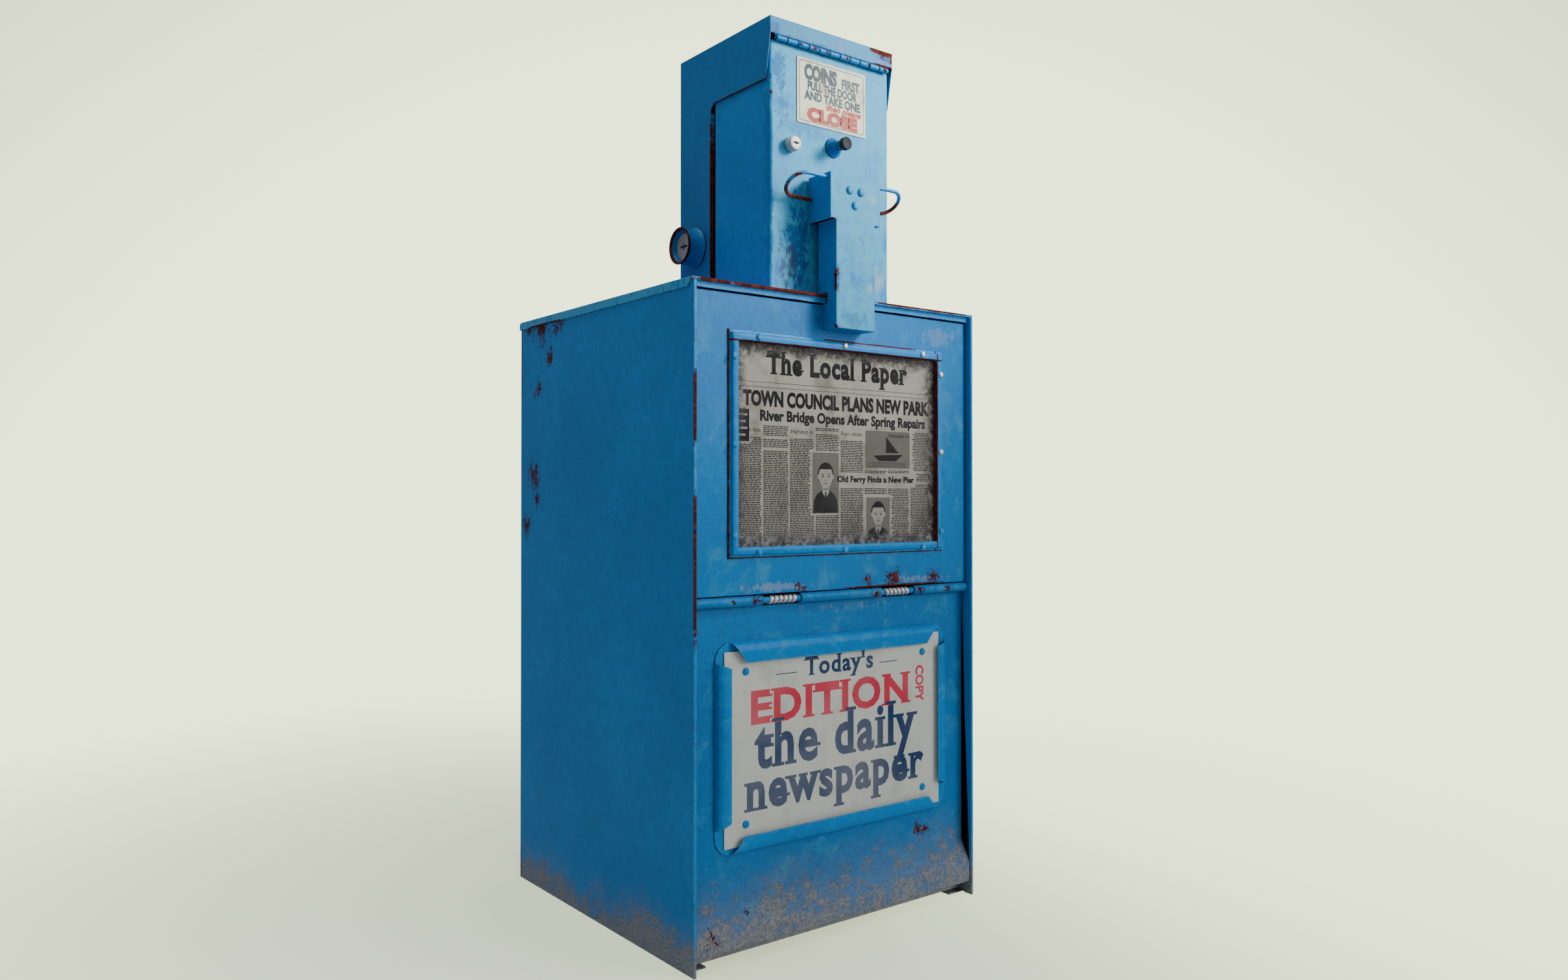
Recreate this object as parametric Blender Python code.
"""Newspaper vending box: folded-steel cabinet, sprung drop-down door, coin head.

Every sub-part is its own object.  Lengths are metres, +Z is up and +X is the
buyer's right.  Depths are measured backwards (+Y) from the front edges of the
side panels and heights from the floor; the empty "cabinet_datum" then puts the
origin under the middle of the whole box.
"""

from math import cos, pi, radians, sin

import bmesh
import bpy
from mathutils import Matrix, Vector

# ---------------------------------------------------------------- dimensions
GAP = 0.0003                 # clearance between touching pieces
SHEET = 0.0016               # door, head and handle steel
HEAVY = 0.0020               # cabinet steel

# cabinet
CABINET_HALF_WIDTH = 0.2550
CABINET_DEPTH = 0.5020
SIDE_TOP = 0.8837
HEM_THICKNESS = 0.0040
HEM_DEPTH = 0.0140
FOOT_FLANGE = 0.0300
LID_TOP = 0.8860
LID_OVERHANG = 0.0020
LID_FLANGE_BOTTOM = 0.8740
LID_CORNER_RADIUS = 0.0060

# hinged door and its hinge
HINGE_Y = 0.0130
HINGE_Z = 0.4690
HINGE_RADIUS = 0.0070
HINGE_BORE = 0.0046
ROD_RADIUS = 0.0043
TUBE_INNER_END = 0.0750      # half length of the door's tube
SPRING_TURNS = 7
SPRING_PITCH = 0.0079
SPRING_RADIUS = 0.0059
DOOR_FACE_Y = 0.0100
DOOR_HALF_WIDTH = 0.2470
DOOR_BOTTOM = 0.4775
DOOR_TOP = 0.8725
DOOR_DEPTH = 0.0160

# window in the door
FRAME_HALF_WIDTH = 0.1970
FRAME_BOTTOM = 0.5255
FRAME_TOP = 0.8245
FRAME_FRONT_Y = 0.0035
OPENING_HALF_WIDTH = 0.1825
OPENING_BOTTOM = 0.5403
OPENING_TOP = 0.8110
RIVET_RADIUS = 0.0044
RIVET_HEIGHT = 0.0026

# lower panel and card frame
PANEL_Y = 0.0200
PANEL_HALF_WIDTH = 0.2507
KICK_TOP = 0.0820
KICK_Y = 0.0030
KICK_BEND = 0.0500
KICK_BOTTOM = 0.0200
CARD_FRAME_HALF_WIDTH = 0.2110
CARD_FRAME_BOTTOM = 0.1375
CARD_FRAME_TOP = 0.4165
CARD_FRAME_CORNER = 0.0275
CARD_HALF_WIDTH = 0.1970
CARD_BOTTOM = 0.1470
CARD_TOP = 0.4035

# handle bracket and pull loops
HANDLE_FRONT_Y = -0.0190
HANDLE_HALF_WIDTH = 0.0355
HANDLE_HEAD_HALF_WIDTH = 0.0457
HANDLE_BOTTOM = 0.8380
HANDLE_STEP = 0.9870
HANDLE_TOP = 1.0510
LOOP_WIRE_RADIUS = 0.0027
LOOP_REACH = 0.0540
HANDLE_RIVET_HEIGHT = 0.0034

# coin head
HEAD_HALF_WIDTH = 0.1105
HEAD_FRONT_Y = 0.0330
HEAD_REAR_Y = 0.1630
HEAD_TOP = 1.2320
HOOD_HALF_WIDTH = 0.1135
HOOD_FRONT_Y = 0.0280
HOOD_REAR_Y = 0.2515
HOOD_TOP = 1.2625
HOOD_BOTTOM = 0.8890
BROW_BOTTOM = 1.2395
HOOD_SIDE_BOTTOM = 1.1780
HOOD_SIDE_FRONT = 0.1720
HOOD_CORNER_RADIUS = 0.0120
HOOD_EDGE_FLANGE = 0.0085
PIANO_Y = 0.0280
PIANO_Z = 1.2340
PIANO_RADIUS = 0.0040
PIANO_BORE = 0.0018
PIANO_HALF_LENGTH = 0.1040
PIANO_KNUCKLES = 11
FRONT_LOCK = (-0.0750, 1.0930)         # x and z of the lock's axis
COIN_RETURN = (0.0025, 1.1030)         # x and z of the plunger's axis
SIDE_LOCK = (0.2120, 0.9755)           # y and z of the lock's axis
PAWL_PIVOT = (0.0660, 1.0320)          # y and z of the pawl's axis
STRIKER_Z = 1.0050
PLATE_HALF_WIDTH = 0.0635
PLATE_BOTTOM = 1.1280
PLATE_TOP = 1.2200

FRONTMOST_Y = HANDLE_FRONT_Y - GAP - HANDLE_RIVET_HEIGHT
REARMOST_Y = CABINET_DEPTH + LID_OVERHANG
DATUM_Y = -(FRONTMOST_Y + REARMOST_Y) / 2

AXIS_TURN = {
    "X": Matrix.Rotation(pi / 2, 4, "Y"),
    "Y": Matrix.Rotation(-pi / 2, 4, "X"),
    "Z": Matrix.Identity(4),
}
FINISHES = {
    "blue_paint": ((0.010, 0.115, 0.300), 0.45, 0.0),
    "pale_blue_paint": ((0.130, 0.330, 0.560), 0.50, 0.0),
    "bare_steel": ((0.560, 0.550, 0.530), 0.35, 1.0),
    "rusty_steel": ((0.160, 0.070, 0.040), 0.80, 0.3),
    "dark_cap": ((0.030, 0.035, 0.040), 0.45, 0.0),
    "galvanised": ((0.420, 0.430, 0.430), 0.50, 0.9),
    "cast_alloy": ((0.480, 0.480, 0.470), 0.60, 0.8),
    "card_stock": ((0.620, 0.600, 0.560), 0.70, 0.0),
    "newsprint": ((0.360, 0.330, 0.290), 0.85, 0.0),
    "acrylic": ((0.700, 0.720, 0.700), 0.15, 0.0),
    "cream_plate": ((0.560, 0.520, 0.400), 0.55, 0.0),
}


# ------------------------------------------------------------------- helpers
def clear_scene():
    """Start from an empty file."""
    for old in list(bpy.data.objects):
        bpy.data.objects.remove(old, do_unlink=True)


def pivot(name, location, parent=None):
    """Empty that stands on a joint's axis."""
    empty = bpy.data.objects.new(name, None)
    empty.empty_display_size = 0.03
    bpy.context.scene.collection.objects.link(empty)
    empty.parent = parent
    empty.location = location
    return empty


def outward(bm):
    """Turn every face of a closed body outwards."""
    bmesh.ops.recalc_face_normals(bm, faces=bm.faces)
    if bm.calc_volume(signed=True) < 0:
        bmesh.ops.reverse_faces(bm, faces=bm.faces)


def solid(name, build):
    """Object from a function that fills a bmesh with one closed body."""
    bm = bmesh.new()
    build(bm)
    outward(bm)
    mesh = bpy.data.meshes.new(name)
    bm.to_mesh(mesh)
    bm.free()
    made = bpy.data.objects.new(name, mesh)
    bpy.context.scene.collection.objects.link(made)
    return made


def box(name, x, y, z):
    """Block between the given low and high values on each axis."""
    def build(bm):
        size = Vector((x[1] - x[0], y[1] - y[0], z[1] - z[0]))
        middle = Vector((x[0] + x[1], y[0] + y[1], z[0] + z[1])) / 2
        place = Matrix.Translation(middle) @ Matrix.Diagonal((*size, 1.0))
        bmesh.ops.create_cube(bm, size=1.0, matrix=place)
    return solid(name, build)


def prism(name, outline, axis, low, high, taper=None):
    """Extrude an outline, given in the two other axes, along X, Y or Z.

    taper shortens each end by taper(point) where an end is cut on the slant.
    """
    def corner(point, along, direction):
        if taper is not None:
            along += direction * taper(point)
        a, b = point
        return {"X": (along, a, b), "Y": (a, along, b), "Z": (a, b, along)}[axis]

    def build(bm):
        first = [bm.verts.new(corner(p, low, 1)) for p in outline]
        last = [bm.verts.new(corner(p, high, -1)) for p in outline]
        bm.faces.new(first)
        bm.faces.new(reversed(last))
        for i in range(len(outline)):
            j = (i + 1) % len(outline)
            bm.faces.new((first[i], last[i], last[j], first[j]))
    return solid(name, build)


def turned(name, profile, axis, centre, segments=24, ring=False):
    """Turn (radius, height) points about an axis through centre.

    A ring's profile is a closed loop; any other profile starts and ends on the axis.
    """
    def build(bm):
        rows = []
        for radius, height in profile:
            if radius == 0.0:
                rows.append([bm.verts.new((0.0, 0.0, height))])
                continue
            turn = [2 * pi * k / segments for k in range(segments)]
            rows.append([bm.verts.new((radius * cos(t), radius * sin(t), height)) for t in turn])
        pairs = list(zip(rows, rows[1:]))
        if ring:
            pairs.append((rows[-1], rows[0]))
        for low, high in pairs:
            for k in range(segments):
                n = (k + 1) % segments
                corners = [low[k % len(low)], low[n % len(low)], high[n % len(high)], high[k % len(high)]]
                bm.faces.new(list(dict.fromkeys(corners)))
        bmesh.ops.transform(bm, matrix=Matrix.Translation(centre) @ AXIS_TURN[axis], verts=bm.verts)
    return solid(name, build)


def rod(name, radius, axis, centre, low, high, segments=16):
    """Plain cylinder whose heights run along its axis."""
    profile = [(0.0, low), (radius, low), (radius, high), (0.0, high)]
    return turned(name, profile, axis, centre, segments)


def tube(name, radius, bore, axis, centre, low, high, segments=20):
    """Plain hollow cylinder."""
    profile = [(bore, low), (radius, low), (radius, high), (bore, high)]
    return turned(name, profile, axis, centre, segments, ring=True)


def arc(centre, radius, start, end, steps):
    """Points on an arc, angles in degrees."""
    turns = [radians(start + (end - start) * k / steps) for k in range(steps + 1)]
    return [(centre[0] + radius * cos(t), centre[1] + radius * sin(t)) for t in turns]


def rounded_rectangle(a, b, radius, steps=5):
    """Closed outline between the corners a and b."""
    points = arc((b[0] - radius, b[1] - radius), radius, 0, 90, steps)
    points += arc((a[0] + radius, b[1] - radius), radius, 90, 180, steps)
    points += arc((a[0] + radius, a[1] + radius), radius, 180, 270, steps)
    points += arc((b[0] - radius, a[1] + radius), radius, 270, 360, steps)
    return points


def folded(path, thickness):
    """Closed outline of a folded sheet whose outer face follows an open path.

    The metal lies on the left of the path as it is walked.
    """
    points = [Vector(p) for p in path]
    inner = []
    for i, point in enumerate(points):
        before = (point - points[i - 1]).normalized() if i > 0 else None
        after = (points[i + 1] - point).normalized() if i < len(points) - 1 else None
        before = after if before is None else before
        after = before if after is None else after
        left = Vector((-before.y - after.y, before.x + after.x)).normalized()
        stretch = left.dot(Vector((-after.y, after.x)))
        inner.append(point + left * (thickness / stretch))
    return [tuple(p) for p in points] + [tuple(p) for p in reversed(inner)]


def combine(target, tool, operation):
    """Apply one exact boolean and remove the tool."""
    modifier = target.modifiers.new("combine", "BOOLEAN")
    modifier.operation = operation
    modifier.solver = "EXACT"
    modifier.object = tool
    depsgraph = bpy.context.evaluated_depsgraph_get()
    mesh = bpy.data.meshes.new_from_object(target.evaluated_get(depsgraph))
    target.modifiers.clear()
    target.data = mesh
    bpy.data.objects.remove(tool, do_unlink=True)
    return target


def fuse(target, *tools):
    for tool in tools:
        combine(target, tool, "UNION")
    return target


def cut(target, *tools):
    for tool in tools:
        combine(target, tool, "DIFFERENCE")
    return target


def finish(made, finish_name, parent, smooth=False):
    """Name, colour and parent a piece, with its origin on its parent's axis."""
    colour, roughness, metallic = FINISHES[finish_name]
    material = bpy.data.materials.new(made.name)
    material.use_nodes = True
    shader = material.node_tree.nodes["Principled BSDF"]
    shader.inputs["Base Color"].default_value = (*colour, 1.0)
    shader.inputs["Roughness"].default_value = roughness
    shader.inputs["Metallic"].default_value = metallic
    made.data.name = made.name
    made.data.materials.clear()
    made.data.materials.append(material)
    if smooth:
        made.data.shade_smooth()
        made.data.set_sharp_from_angle(angle=radians(35))
    if parent.parent is not None:
        made.data.transform(Matrix.Translation(-parent.location))
    made.parent = parent
    return made


def mirrored_pair(name, build, finish_name, parent):
    """The same piece on the left (-X) and the right (+X)."""
    for side, sign in (("left", -1), ("right", 1)):
        finish(build(name.format(side), sign), finish_name, parent)


def span(sign, near, far):
    """Low and high x of a stretch between two distances from the middle."""
    return tuple(sorted((sign * near, sign * far)))


# ------------------------------------------------------------------- cabinet
def side_panel(name, sign):
    """Side wall with a hemmed front edge and a foot flange turned in."""
    outer = CABINET_HALF_WIDTH
    inner = outer - HEAVY
    hem = outer - HEM_THICKNESS
    depth = CABINET_DEPTH - HEAVY - GAP
    outline = [(outer, 0.0), (outer, depth), (inner, depth), (inner, HEM_DEPTH),
               (hem, HEM_DEPTH), (hem, 0.0)]
    outline = [(sign * x, y) for x, y in outline]
    panel = prism(name, outline, "Z", 0.0, SIDE_TOP)
    lip_clear = (LID_TOP - HEM_THICKNESS - GAP, LID_TOP)
    cut(panel, box("lip_notch", span(sign, 0.24, 0.26), (-0.01, HEM_DEPTH + GAP), lip_clear))
    foot_front = 0.020
    foot_rear = CABINET_DEPTH - FOOT_FLANGE - HEAVY - GAP
    foot_x = span(sign, inner - FOOT_FLANGE, outer - HEAVY / 2)
    return fuse(panel, box("foot", foot_x, (foot_front, foot_rear), (0.0, HEAVY)))


def back_panel(parent):
    """Rear wall with a foot flange and two flanges turned in along the sides."""
    front = CABINET_DEPTH - HEAVY
    half = CABINET_HALF_WIDTH
    inside = half - HEAVY - GAP
    panel = box("cabinet_back", (-half, half), (front, CABINET_DEPTH), (0.0, SIDE_TOP))
    overlap = front + HEAVY / 2
    foot = box("foot", (-inside, inside), (front - FOOT_FLANGE, overlap), (0.0, HEAVY))
    flanges = []
    for sign in (-1, 1):
        x = span(sign, inside - SHEET, inside)
        flanges.append(box("flange", x, (front - 0.018, overlap), (0.040, 0.850)))
    finish(fuse(panel, foot, *flanges), "blue_paint", parent)


def base_pan(parent):
    """Floor of the cabinet, with flanges turned down and four anchor holes."""
    half = CABINET_HALF_WIDTH - HEAVY - GAP
    front, rear = 0.024, CABINET_DEPTH - HEAVY - 0.0184
    top, low = 0.026, 0.006
    pan = box("cabinet_base", (-half, half), (front, rear), (low, top))
    hollow = box("hollow", (HEAVY - half, half - HEAVY), (front + HEAVY, rear + 0.01),
                 (low - 0.01, top - HEAVY))
    cut(pan, hollow)
    hole_radius, hole_x = 0.006, 0.180
    for x in (-hole_x, hole_x):
        for y in (0.090, 0.400):
            cut(pan, rod("hole", hole_radius, "Z", (x, y, 0.0), 0.0, 0.05))
    finish(pan, "galvanised", parent)


def lid(parent):
    """Top sheet with turned-down edges and the header strip above the door."""
    half = CABINET_HALF_WIDTH + LID_OVERHANG
    front, rear = LID_OVERHANG, CABINET_DEPTH + LID_OVERHANG
    lip_bottom = LID_TOP - HEM_THICKNESS
    r = LID_CORNER_RADIUS
    outline = [(front, LID_TOP), (front, lip_bottom), (front + 0.004, lip_bottom),
               (HEM_DEPTH, LID_FLANGE_BOTTOM), (rear, LID_FLANGE_BOTTOM)]
    outline += arc((rear - r, LID_TOP - r), r, 0, 90, 4)
    top = prism("cabinet_lid", outline, "X", -half, half)
    inside = CABINET_HALF_WIDTH + GAP
    below = LID_FLANGE_BOTTOM - 0.01
    cut(top, box("hollow", (-inside, inside), (HEM_DEPTH, CABINET_DEPTH + GAP),
                 (below, LID_TOP - HEAVY)))
    cut(top, box("front_hollow", (-inside, inside), (front + 0.001, HEM_DEPTH + 0.001),
                 (below, lip_bottom)))
    header_y = 0.0065
    fuse(top, box("header", (-PANEL_HALF_WIDTH, PANEL_HALF_WIDTH), (header_y, header_y + HEAVY),
                  (LID_FLANGE_BOTTOM + GAP, lip_bottom + 0.001)))
    finish(top, "blue_paint", parent)


def paper_shelf(parent):
    """Shelf that the stack of papers stands on, with its edges turned down."""
    half = CABINET_HALF_WIDTH - HEAVY - GAP
    front, rear = 0.024, CABINET_DEPTH - HEAVY - 0.0184
    top, low = 0.458, 0.436
    shelf = box("paper_shelf", (-half, half), (front, rear), (low, top))
    hollow = box("hollow", (HEAVY - half, half - HEAVY), (front + HEAVY, rear + 0.01),
                 (low - 0.01, top - HEAVY))
    finish(cut(shelf, hollow), "galvanised", parent)


# --------------------------------------------------------------- lower front
def lower_front_panel(parent):
    """Fixed panel whose foot kicks forward and tucks under."""
    path = [(0.046, 0.4615), (PANEL_Y, 0.4615), (PANEL_Y, KICK_TOP), (KICK_Y, KICK_BEND),
            (KICK_Y, KICK_BOTTOM), (KICK_Y + 0.016, KICK_BOTTOM)]
    panel = prism("lower_front_panel", folded(path, SHEET), "X", -PANEL_HALF_WIDTH, PANEL_HALF_WIDTH)
    finish(panel, "blue_paint", parent)


def curl_outline(reach, rise=0.011):
    """Section of a card-frame flange: (distance proud, distance inwards)."""
    bend = 0.014
    path = [(rise * sin(radians(t)), bend - bend * cos(radians(t))) for t in range(0, 91, 15)]
    path.append((rise - 0.0012, reach))
    return folded(path, 0.0014)


def card_frame(parent):
    """Rounded plate with four curled flanges that hold the display card."""
    back = PANEL_Y - GAP
    face = back - 0.0015
    half = CARD_FRAME_HALF_WIDTH
    corners = ((-half, CARD_FRAME_BOTTOM), (half, CARD_FRAME_TOP))
    plate = prism("card_frame", rounded_rectangle(*corners, CARD_FRAME_CORNER), "Y", face, back)
    sunk = face + 0.0010
    slant_long, slant_short = 0.75, 0.35

    def long_curl(edge, inwards, reach):
        outline = [(sunk - proud, edge + inwards * run) for proud, run in curl_outline(reach)]
        length = 0.187
        return prism("curl", outline, "X", -length, length, lambda p: slant_long * abs(p[1] - edge))

    def side_curl(sign, reach):
        edge = sign * half
        outline = [(edge - sign * run, sunk - proud) for proud, run in curl_outline(reach)]
        low, high = 0.1740, 0.3900
        return prism("curl", outline, "Z", low, high, lambda p: slant_short * abs(p[0] - edge))

    fuse(plate, long_curl(CARD_FRAME_TOP, -1, 0.0280), long_curl(CARD_FRAME_BOTTOM, 1, 0.0235))
    fuse(plate, side_curl(-1, 0.0215), side_curl(1, 0.0215))
    finish(plate, "blue_paint", parent)


def rack_card(parent):
    """Stiff printed card in the card frame, and the four studs that pin it."""
    back = PANEL_Y - 0.0015 - 2 * GAP
    face = back - 0.0015
    card = box("rack_card", (-CARD_HALF_WIDTH, CARD_HALF_WIDTH), (face, back), (CARD_BOTTOM, CARD_TOP))
    finish(card, "card_stock", parent)
    stud_x, stud_low, stud_high = 0.1625, 0.1750, 0.3760
    places = [(-stud_x, stud_high), (stud_x, stud_high), (-stud_x, stud_low), (stud_x, stud_low)]
    for number, (x, z) in enumerate(places, 1):
        dome(f"card_stud_{number}", (x, face - GAP, z), 0.0052, 0.0024, "blue_paint", parent)


def dome(name, seat, radius, height, finish_name, parent):
    """Domed rivet head that stands forward from its seat."""
    x, y, z = seat
    profile = [(0.0, 0.0), (radius, 0.0), (radius * 0.92, -height * 0.45),
               (radius * 0.62, -height * 0.84), (0.0, -height)]
    finish(turned(name, profile, "Y", (x, y, z), 12), finish_name, parent, smooth=True)


# --------------------------------------------------------------------- hinge
def hinge_outer_tube(name, sign):
    """Hinge tube on the lower panel, outboard of a spring."""
    inner_end = TUBE_INNER_END + 0.0640
    low, high = span(sign, inner_end, PANEL_HALF_WIDTH)
    return tube(name, HINGE_RADIUS, HINGE_BORE, "X", (0.0, HINGE_Y, HINGE_Z), low, high)


def door_spring(name, sign):
    """Flat-wire torsion spring wound round the hinge rod."""
    width, steps = SPRING_PITCH - 0.0006, 14
    inner = HINGE_BORE
    section = [(0.0, inner), (width, inner), (width, SPRING_RADIUS - 0.0004),
               (width - 0.0012, SPRING_RADIUS), (0.0012, SPRING_RADIUS), (0.0, SPRING_RADIUS - 0.0004)]
    start = TUBE_INNER_END + 0.0040
    length = (SPRING_TURNS - 1) * SPRING_PITCH

    def build(bm):
        rings = []
        total = steps * (SPRING_TURNS - 1)
        for k in range(total + 1):
            turn = 2 * pi * k / steps
            along = start + length * k / total
            rings.append([bm.verts.new((sign * (along + a), HINGE_Y + r * cos(turn), HINGE_Z + r * sin(turn)))
                          for a, r in section])
        for near, far in zip(rings, rings[1:]):
            for i in range(len(section)):
                j = (i + 1) % len(section)
                bm.faces.new((near[i], near[j], far[j], far[i]))
        bm.faces.new(rings[0])
        bm.faces.new(rings[-1])
    return solid(name, build)


def hinge(fixed, door):
    """Rod, fixed outer tubes, the door's own tube and the two springs."""
    axis = (0.0, HINGE_Y, HINGE_Z)
    end = PANEL_HALF_WIDTH - GAP
    finish(rod("hinge_rod", ROD_RADIUS, "X", axis, -end, end, 20), "blue_paint", fixed, True)
    mirrored_pair("hinge_tube_{}", hinge_outer_tube, "blue_paint", fixed)
    mirrored_pair("door_spring_{}", door_spring, "bare_steel", fixed)
    middle = tube("hinge_tube_centre", HINGE_RADIUS, HINGE_BORE, "X", axis, -TUBE_INNER_END, TUBE_INNER_END)
    finish(middle, "blue_paint", door)


# ---------------------------------------------------------------------- door
def door_panel(door):
    """Door pan, open at the back, with the window opening."""
    w = DOOR_HALF_WIDTH
    rear = DOOR_FACE_Y + DOOR_DEPTH
    pan = box("door_panel", (-w, w), (DOOR_FACE_Y, rear), (DOOR_BOTTOM, DOOR_TOP))
    cut(pan, box("hollow", (SHEET - w, w - SHEET), (DOOR_FACE_Y + SHEET, rear + 0.01),
                 (DOOR_BOTTOM + SHEET, DOOR_TOP - SHEET)))
    margin = 0.0015 + GAP
    cut(pan, box("window", (-OPENING_HALF_WIDTH - margin, OPENING_HALF_WIDTH + margin), (0.0, 0.05),
                 (OPENING_BOTTOM - margin, OPENING_TOP + margin)))
    finish(pan, "blue_paint", door)


def window_frame(door):
    """Folded channel round the window, and the twelve rivets that hold it."""
    wall = 0.0015
    back = DOOR_FACE_Y - GAP
    w, low, high = FRAME_HALF_WIDTH, FRAME_BOTTOM, FRAME_TOP
    ring = prism("window_frame", rounded_rectangle((-w, low), (w, high), 0.003, 2), "Y", FRAME_FRONT_Y, back)
    deep = (FRAME_FRONT_Y + wall, back + 0.01)
    cut(ring, box("hollow", (wall - w, w - wall), deep, (low + wall, high - wall)))
    o, bottom, top = OPENING_HALF_WIDTH, OPENING_BOTTOM, OPENING_TOP
    lip_rear = DOOR_FACE_Y + SHEET
    lip = box("lip", (-o - wall, o + wall), (FRAME_FRONT_Y + wall / 2, lip_rear), (bottom - wall, top + wall))
    fuse(ring, lip)
    cut(ring, box("opening", (-o, o), (0.0, 0.05), (bottom, top)))
    finish(ring, "blue_paint", door)
    middle = (FRAME_HALF_WIDTH + OPENING_HALF_WIDTH) / 2
    level_low, level_high = (low + bottom) / 2, (high + top) / 2
    across = [-0.150, 0.0, 0.152]
    upright = [0.5560, 0.6740, 0.7900]
    places = [(x, level_high) for x in across] + [(middle, z) for z in reversed(upright)]
    places += [(x, level_low) for x in reversed(across)] + [(-middle, z) for z in upright]
    bare = (2, 3, 4, 5)
    for number, (x, z) in enumerate(places, 1):
        coat = "bare_steel" if number in bare else "blue_paint"
        dome(f"window_rivet_{number:02d}", (x, FRAME_FRONT_Y - GAP, z), RIVET_RADIUS, RIVET_HEIGHT, coat, door)


def display(door):
    """Acrylic pane, the folded newspaper behind it and the pan that holds both."""
    pane_front = DOOR_FACE_Y + SHEET + GAP
    pane_rear = pane_front + 0.0030
    half, low, high = 0.2000, 0.5220, 0.8290
    pane = box("window_pane", (-half, half), (pane_front, pane_rear), (low, high))
    finish(pane, "acrylic", door)
    inset = 0.004
    paper_rear = pane_rear + GAP + 0.0020
    paper = box("display_newspaper", (inset - half, half - inset), (pane_rear + GAP, paper_rear),
                (low + inset, high - inset))
    finish(paper, "newsprint", door)
    wall, clear = 0.0012, 0.0015
    outer = half + clear + wall
    rear = paper_rear + GAP + wall
    pan = box("display_holder", (-outer, outer), (pane_front, rear), (low - clear - wall, high + clear + wall))
    cut(pan, box("hollow", (wall - outer, outer - wall), (0.0, paper_rear + GAP), (low - clear, high + clear)))
    finish(pan, "galvanised", door)


def handle_bracket(door):
    """T-shaped channel from the door's top edge up in front of the coin head."""
    front, wall = HANDLE_FRONT_Y, SHEET
    n, w = HANDLE_HALF_WIDTH, HANDLE_HEAD_HALF_WIDTH
    low, step, top = HANDLE_BOTTOM, HANDLE_STEP, HANDLE_TOP
    head_rear, neck_rear, door_rear, notch_rear = 0.0290, 0.0195, DOOR_FACE_Y - GAP, 0.0

    def tee(inset):
        return [(inset - n, low + inset), (n - inset, low + inset), (n - inset, step + inset),
                (w - inset, step + inset), (w - inset, top - inset), (inset - w, top - inset),
                (inset - w, step + inset), (inset - n, step + inset)]

    shell = prism("handle_bracket", tee(0.0), "Y", front, head_rear)
    cut(shell, prism("hollow", tee(wall), "Y", front + wall, head_rear + 0.01))
    lid_clear = LID_TOP + 0.0030
    door_clear = DOOR_TOP + 0.0010
    far, wide = 0.05, 0.06
    cut(shell, box("neck_trim", (-wide, wide), (neck_rear, far), (low - 0.01, step)))
    cut(shell, box("door_trim", (-wide, wide), (door_rear, far), (low - 0.01, lid_clear)))
    cut(shell, box("lid_notch", (-wide, wide), (notch_rear, far), (door_clear, lid_clear)))
    finish(shell, "pale_blue_paint", door)
    rivets = [(-0.0110, 1.0300), (0.0095, 1.0300), (-0.0010, 1.0100)]
    for number, (x, z) in enumerate(rivets, 1):
        dome(f"handle_rivet_{number}", (x, front - GAP, z), 0.0060, HANDLE_RIVET_HEIGHT,
             "pale_blue_paint", door)


def pull_loop(name, sign):
    """D-shaped wire grip welded to the side of the handle bracket."""
    start, end = Vector((-0.0120, 1.0450)), Vector((0.0230, 1.0190))
    radius = (end - start).length / 2
    middle = (start + end) / 2
    slope = (start - end).normalized()
    near = HANDLE_HEAD_HALF_WIDTH + GAP
    straight = near + LOOP_REACH - radius
    path = [(near, radius)]
    steps = 14
    for k in range(steps + 1):
        turn = pi / 2 - pi * k / steps
        path.append((straight + radius * cos(turn), radius * sin(turn)))
    path.append((near, -radius))
    curve = bpy.data.curves.new(name, "CURVE")
    curve.dimensions = "3D"
    curve.bevel_depth = LOOP_WIRE_RADIUS
    curve.bevel_resolution = 2
    curve.use_fill_caps = True
    curve.resolution_u = 1
    spline = curve.splines.new("POLY")
    spline.points.add(len(path) - 1)
    for point, (out, along) in zip(spline.points, path):
        place = middle + slope * along
        point.co = (sign * out, place.x, place.y, 1.0)
    guide = bpy.data.objects.new(name + "_guide", curve)
    bpy.context.scene.collection.objects.link(guide)
    mesh = bpy.data.meshes.new_from_object(guide.evaluated_get(bpy.context.evaluated_depsgraph_get()))
    bpy.data.objects.remove(guide, do_unlink=True)

    def build(bm):
        bm.from_mesh(mesh)
        bmesh.ops.remove_doubles(bm, verts=bm.verts, dist=0.00001)
    return solid(name, build)


def door_striker(door):
    """Plate riveted behind the bracket; its tongue enters the coin head."""
    front = HANDLE_FRONT_Y + SHEET + GAP
    plate = box("door_striker", (-0.0260, 0.0260), (front, front + 0.0020), (1.0000, 1.0440))
    tongue_top = STRIKER_Z + 0.0025
    fuse(plate, box("tongue", (-0.0100, 0.0100), (front + 0.0010, 0.0620), (STRIKER_Z, tongue_top)))
    cut(plate, box("catch", (-0.0060, 0.0060), (0.0430, 0.0580), (0.99, 1.02)))
    finish(plate, "galvanised", door)


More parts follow.
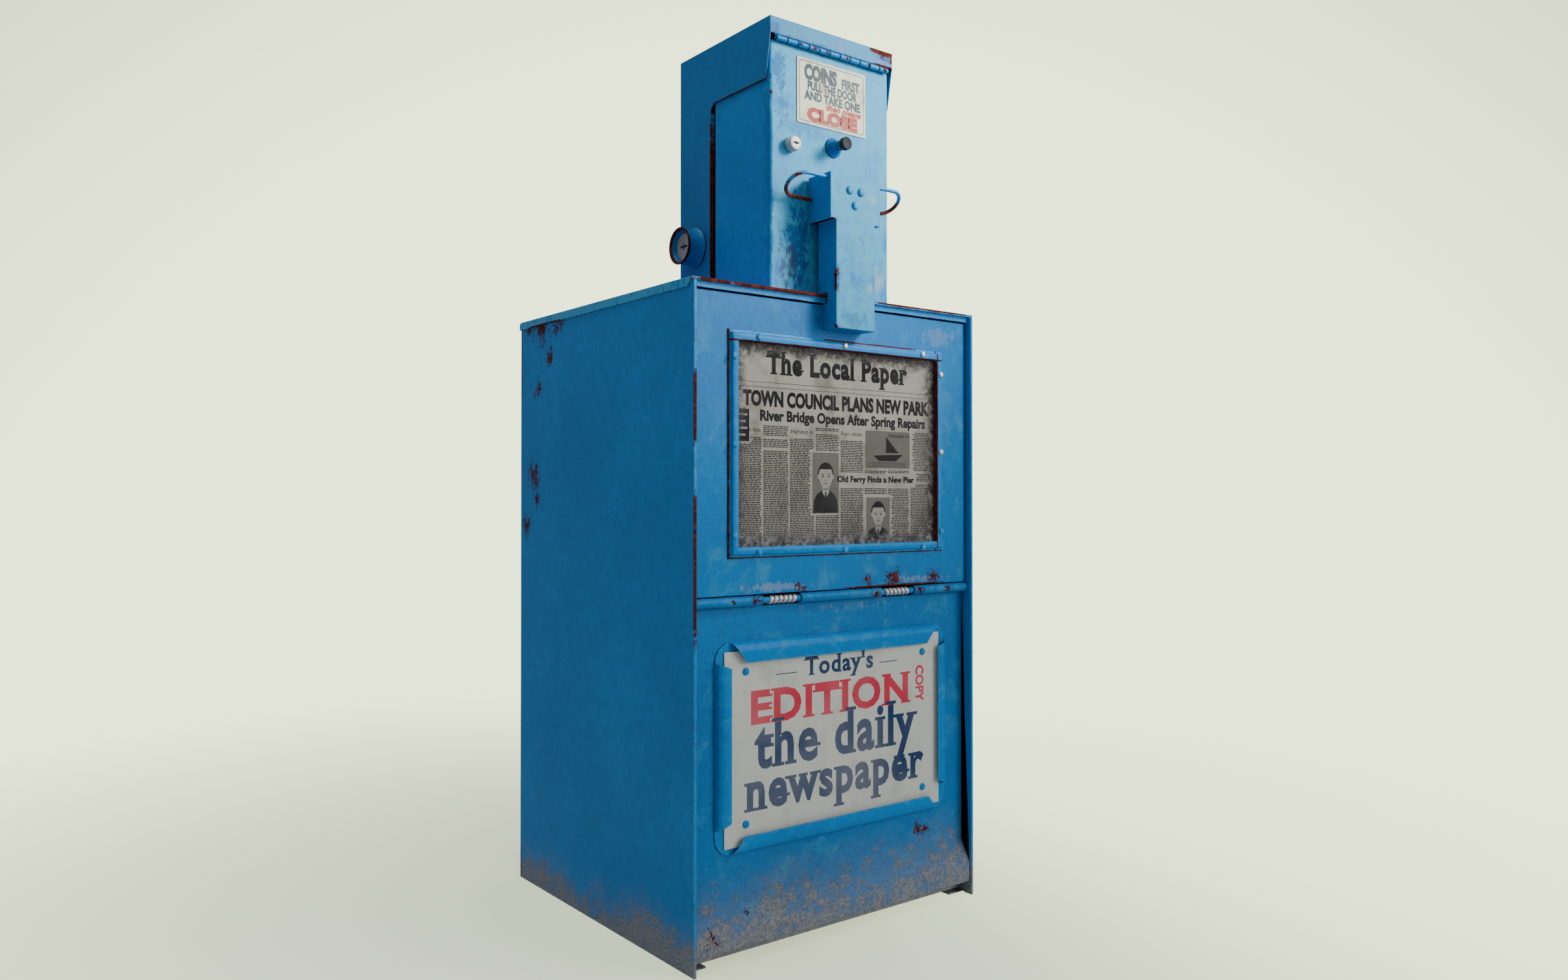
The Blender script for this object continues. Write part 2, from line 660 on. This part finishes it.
# ----------------------------------------------------------------- coin head
def head_front_box(parent):
    """Fixed U-shaped casing of the coin head, open at the rear."""
    w, front, rear = HEAD_HALF_WIDTH, HEAD_FRONT_Y, HEAD_REAR_Y
    r, lip = 0.006, 0.012
    path = [(w - lip, rear), (w, rear), (w, front + r)]
    path += arc((w - r, front + r), r, 0, -90, 4)[1:]
    path += arc((r - w, front + r), r, -90, -180, 4)
    path += [(-w, rear), (lip - w, rear)]
    low = LID_TOP + GAP
    casing = prism("head_front_box", folded(path, -SHEET), "Z", low, HEAD_TOP)
    for sign in (-1, 1):
        fuse(casing, box("foot", span(sign, w - 0.014, w - SHEET / 2), (front + 0.012, rear - 0.012),
                         (low, low + SHEET)))
    x, z = FRONT_LOCK
    cut(casing, rod("lock_hole", 0.0091, "Y", (x, 0.0, z), 0.0, 0.06, 24))
    x, z = COIN_RETURN
    cut(casing, rod("plunger_hole", 0.0083, "Y", (x, 0.0, z), 0.0, 0.06, 20))
    slot_low, slot_high = STRIKER_Z - 0.006, STRIKER_Z + 0.012
    cut(casing, box("striker_slot", (-0.0130, 0.0130), (0.0, 0.06), (slot_low, slot_high)))
    coin_y, coin_z = (0.0970, 0.1000), (1.1020, 1.1290)
    cut(casing, box("coin_slot", (w - 0.01, w + 0.01), coin_y, coin_z))
    finish(casing, "pale_blue_paint", parent)


def hood(hood_pivot):
    """Lift-up cover of the coin head: top, brow, back and two cut-away sides."""
    w, front, rear, top = HOOD_HALF_WIDTH, HOOD_FRONT_Y, HOOD_REAR_Y, HOOD_TOP
    r = HOOD_CORNER_RADIUS
    outline = [(front, top), (front, BROW_BOTTOM), (0.0380, 1.1810), (0.0410, HOOD_SIDE_BOTTOM)]
    outline += arc((HOOD_SIDE_FRONT - r, HOOD_SIDE_BOTTOM - r), r, 90, 0, 4)
    outline += [(HOOD_SIDE_FRONT, HOOD_BOTTOM), (rear, HOOD_BOTTOM), (rear, top)]
    shell = prism("head_hood", outline, "X", -w, w)
    inside = w - SHEET
    cut(shell, box("hollow", (-inside, inside), (front + SHEET, rear - SHEET), (0.8, top - SHEET)))
    cut(shell, box("below_brow", (-inside, inside), (front - 0.01, front + 0.004), (1.20, BROW_BOTTOM)))
    for sign in (-1, 1):
        fuse(shell, box("edge_flange", span(sign, w - HOOD_EDGE_FLANGE, w - SHEET / 2),
                        (HOOD_SIDE_FRONT, HOOD_SIDE_FRONT + SHEET), (HOOD_BOTTOM, HOOD_SIDE_BOTTOM - r)))
    y, z = SIDE_LOCK
    cut(shell, rod("lock_hole", 0.0090, "X", (0.0, y, z), -0.13, -0.10, 24))
    finish(shell, "blue_paint", hood_pivot)


def piano_hinge(fixed, hood_pivot):
    """Continuous hinge under the brow: two leaves with shared knuckles, and a pin."""
    pitch = 2 * PIANO_HALF_LENGTH / PIANO_KNUCKLES
    axis = (0.0, PIANO_Y, PIANO_Z)
    thick = 0.0013
    full = (-PIANO_HALF_LENGTH, PIANO_HALF_LENGTH)
    hood_leaf_y = (HOOD_FRONT_Y + SHEET + GAP, HOOD_FRONT_Y + SHEET + GAP + thick)
    upper = box("head_hinge_upper_leaf", full, hood_leaf_y, (PIANO_Z + 0.0043, HOOD_TOP - 0.006))
    behind = HEAD_FRONT_Y + SHEET + GAP
    bridge_z = (HEAD_TOP + GAP, HEAD_TOP + GAP + thick)
    lower = box("head_hinge_lower_leaf", full, (behind, behind + thick), (HEAD_TOP - 0.024, bridge_z[1]))
    fuse(lower, box("bridge", full, (0.0324, behind + thick / 2), bridge_z))
    for k in range(PIANO_KNUCKLES):
        start = full[0] + k * pitch
        x = (start + GAP / 2, start + pitch - GAP / 2)
        knuckle = tube("knuckle", PIANO_RADIUS, PIANO_BORE, "X", axis, *x, 12)
        if k % 2 == 0:
            fuse(upper, knuckle, box("tab", x, hood_leaf_y, (PIANO_Z, PIANO_Z + 0.006)))
        else:
            fuse(lower, knuckle, box("tab", x, (PIANO_Y + 0.0028, 0.0340), bridge_z))
    finish(upper, "rusty_steel", hood_pivot)
    finish(lower, "rusty_steel", fixed)
    pin_end = PIANO_HALF_LENGTH + 0.0008
    finish(rod("head_hinge_pin", 0.0015, "X", axis, -pin_end, pin_end, 12), "rusty_steel", fixed)


def instruction_plate(parent):
    """Thin printed plate on the head's front."""
    back = HEAD_FRONT_Y - GAP
    w = PLATE_HALF_WIDTH
    plate = prism("instruction_plate", rounded_rectangle((-w, PLATE_BOTTOM), (w, PLATE_TOP), 0.002, 2),
                  "Y", back - 0.0010, back)
    finish(plate, "cream_plate", parent)


def front_lock(fixed, lock_pivot):
    """Key lock on the head's front: fixed shell, and a plug that turns a cam."""
    x, z = FRONT_LOCK
    collar, shank, bore = 0.0103, 0.0088, 0.0066
    face, seat, tail = 0.0195, HEAD_FRONT_Y - GAP, 0.0500
    profile = [(bore, face), (collar - 0.0012, face), (collar, face + 0.0012), (collar, seat),
               (shank, seat), (shank, tail), (bore, tail)]
    finish(turned("front_lock_body", profile, "Y", (x, 0.0, z), 24, ring=True), "bare_steel", fixed, True)
    plug_radius, plug_face = 0.0063, face - 0.0003
    plug = rod("front_lock_plug", plug_radius, "Y", (x, 0.0, z), plug_face, tail + 0.0030, 20)
    fuse(plug, box("cam", (x - 0.0050, x + 0.0050), (tail + 0.0008, tail + 0.0028), (z - 0.0280, z + 0.0060)))
    cut(plug, box("key_slot", (x - 0.0042, x + 0.0042), (0.0, plug_face + 0.0035), (z - 0.0011, z + 0.0011)))
    finish(plug, "bare_steel", lock_pivot)


def coin_return(fixed, button_pivot):
    """Bell-shaped guide and the push button that slides in it."""
    x, z = COIN_RETURN
    bore, shank = 0.0068, 0.0080
    seat, nose, tail = HEAD_FRONT_Y - GAP, 0.0185, 0.0420
    bell = [(0.0140, seat), (0.0138, 0.0302), (0.0116, 0.0276)]
    bell += [(0.0096, 0.0240), (0.0086, 0.0205), (0.0084, nose)]
    profile = [(bore, tail), (shank, tail), (shank, seat)] + bell + [(bore, nose)]
    finish(turned("coin_return_bezel", profile, "Y", (x, 0.0, z), 24, ring=True), "blue_paint", fixed, True)
    sleeve, cap, ring = 0.0064, 0.0090, 0.0076
    face, end = 0.0015, 0.0500
    profile = [(0.0, face), (cap - 0.0010, face), (cap, face + 0.0010), (cap, 0.0085), (cap - 0.0006, 0.0092),
               (ring, 0.0094), (ring, 0.0117), (sleeve, 0.0118), (sleeve, end), (0.0, end)]
    finish(turned("coin_return_button", profile, "Y", (x, 0.0, z), 24), "dark_cap", button_pivot, True)


def side_lock(hood_pivot, lock_pivot):
    """Flared guard on the hood's left side, with the lock's plug and cam inside."""
    y, z = SIDE_LOCK
    wall = -HOOD_HALF_WIDTH - GAP
    rim = -0.1420
    bore = 0.0199
    outer = [(0.0300, wall), (0.0300, wall - 0.0025), (0.0282, wall - 0.0045), (0.0258, wall - 0.0085),
             (0.0246, wall - 0.0140), (0.0250, wall - 0.0190), (0.0266, wall - 0.0245), (0.0275, rim + 0.0010),
             (0.0270, rim)]
    inner = [(0.0248, rim), (0.0236, rim + 0.0030), (0.0215, -0.1345), (bore, -0.1335), (bore, wall)]
    guard = turned("side_lock_guard", outer + inner, "X", (0.0, y, z), 32, ring=True)
    finish(guard, "blue_paint", hood_pivot, True)
    face, shoulder, tail = -0.1330, -0.1160, -0.0962
    body, shaft = 0.0195, 0.0080
    profile = [(0.0, face), (body, face), (body, shoulder), (shaft, shoulder), (shaft, tail), (0.0, tail)]
    plug = turned("side_lock_plug", profile, "X", (0.0, y, z), 28)
    fuse(plug, box("cam", (-0.0990, -0.0965), (y - 0.0060, y + 0.0060), (z - 0.0380, z + 0.0080)))
    deep = (face - 0.01, face + 0.0040)
    cut(plug, box("key_slot", deep, (y - 0.0080, y + 0.0080), (z - 0.0014, z + 0.0014)))
    cut(plug, box("key_cross", deep, (y - 0.0010, y + 0.0010), (z - 0.0050, z + 0.0050)))
    finish(plug, "bare_steel", lock_pivot)


def lock_keeper(parent):
    """Angle on the lid whose lip holds the side lock's cam down."""
    web = (-0.0910, -0.0890)
    foot = LID_TOP + GAP
    lip_z = 0.9835
    keeper = box("lock_keeper", web, (0.1680, 0.2000), (foot, lip_z + HEAVY))
    fuse(keeper, box("lip", (-0.1040, web[0] + 0.001), (0.1680, 0.1960), (lip_z, lip_z + HEAVY)))
    fuse(keeper, box("sole", (-0.1040, web[0] + 0.001), (0.1680, 0.2000), (foot, foot + HEAVY)))
    finish(keeper, "galvanised", parent)


def coin_mechanism(parent):
    """Coin validator block with two ears that carry the latch pawl."""
    y, z = PAWL_PIVOT
    front = y + 0.0080
    block = box("coin_mechanism", (-0.0440, 0.0440), (front, 0.1280), (0.9400, 1.1300))
    cut(block, box("side_step", (0.0200, 0.0500), (front - 0.01, 0.1000), (1.0500, 1.0900)))
    cut(block, box("coin_path", (0.0240, 0.0360), (0.0960, 0.1010), (1.0850, 1.14)))
    for sign in (-1, 1):
        ear = box("ear", span(sign, 0.0090, 0.0110), (y - 0.0060, front + 0.001), (z - 0.0080, z + 0.0080))
        fuse(block, cut(ear, rod("pin_hole", 0.0026, "X", (0.0, y, z), -0.02, 0.02, 12)))
    finish(block, "cast_alloy", parent)


def coin_chute(parent):
    """Sloping trough from the coin slot in the casing to the mechanism."""
    wall, half_gap = 0.0010, 0.0022
    middle = 0.0985
    outer_x, inner_x = HEAD_HALF_WIDTH - SHEET - GAP, 0.0444
    high, low = 1.1010, 1.0940
    floor = [(inner_x, low - wall), (outer_x, high - wall), (outer_x, high), (inner_x, low)]
    side = [(inner_x, low - wall), (outer_x, high - wall), (outer_x, high + 0.020), (inner_x, low + 0.020)]
    near, far = middle - half_gap, middle + half_gap
    trough = prism("coin_chute", floor, "Y", near - wall, far + wall)
    fuse(trough, prism("wall", side, "Y", near - wall, near), prism("wall", side, "Y", far, far + wall))
    finish(trough, "galvanised", parent)


def coin_tray(parent):
    """Open box that catches the coins under the hood."""
    wall = 0.0015
    x, y = (-0.0800, 0.1000), (0.1680, 0.2440)
    low, top = LID_TOP + GAP, 0.9480
    tray = box("coin_tray", x, y, (low, top))
    cut(tray, box("hollow", (x[0] + wall, x[1] - wall), (y[0] + wall, y[1] - wall), (low + wall, top + 0.01)))
    finish(tray, "galvanised", parent)


def latch_pawl(pawl_pivot):
    """Small hook that drops into the striker's tongue to hold the door shut."""
    y, z = PAWL_PIVOT
    pawl = rod("latch_pawl", 0.0045, "X", (0.0, y, z), -0.0050, 0.0050, 16)
    fuse(pawl, rod("pin", 0.0023, "X", (0.0, y, z), -0.0135, 0.0135, 12))
    hook = [(y + 0.0020, z + 0.0040), (y - 0.0190, z - 0.0060), (y - 0.0190, STRIKER_Z + 0.0048),
            (y - 0.0160, STRIKER_Z + 0.0048), (y - 0.0140, z - 0.0100), (y + 0.0010, z - 0.0040)]
    fuse(pawl, prism("hook", hook, "X", -0.0030, 0.0030))
    finish(pawl, "galvanised", pawl_pivot)


# -------------------------------------------------------------------- the box
def build_all():
    """Model every sub-part under the empty of the body that it belongs to."""
    clear_scene()
    datum = pivot("cabinet_datum", (0.0, DATUM_Y, 0.0))
    door = pivot("door_pivot", (0.0, HINGE_Y, HINGE_Z), datum)
    hood_pivot = pivot("hood_pivot", (0.0, PIANO_Y, PIANO_Z), datum)
    front_lock_pivot = pivot("front_lock_pivot", (FRONT_LOCK[0], 0.0, FRONT_LOCK[1]), datum)
    button_pivot = pivot("coin_return_pivot", (COIN_RETURN[0], 0.0, COIN_RETURN[1]), datum)
    side_lock_pivot = pivot("side_lock_pivot", (-HOOD_HALF_WIDTH, *SIDE_LOCK), datum)
    pawl_pivot = pivot("pawl_pivot", (0.0, *PAWL_PIVOT), datum)

    mirrored_pair("cabinet_{}_side", side_panel, "blue_paint", datum)
    back_panel(datum)
    base_pan(datum)
    lid(datum)
    paper_shelf(datum)
    lower_front_panel(datum)
    card_frame(datum)
    rack_card(datum)
    hinge(datum, door)

    door_panel(door)
    window_frame(door)
    display(door)
    handle_bracket(door)
    mirrored_pair("pull_loop_{}", pull_loop, "rusty_steel", door)
    door_striker(door)

    head_front_box(datum)
    hood(hood_pivot)
    piano_hinge(datum, hood_pivot)
    instruction_plate(datum)
    front_lock(datum, front_lock_pivot)
    coin_return(datum, button_pivot)
    side_lock(hood_pivot, side_lock_pivot)
    lock_keeper(datum)
    coin_mechanism(datum)
    coin_chute(datum)
    coin_tray(datum)
    latch_pawl(pawl_pivot)
    bpy.context.view_layer.update()


build_all()
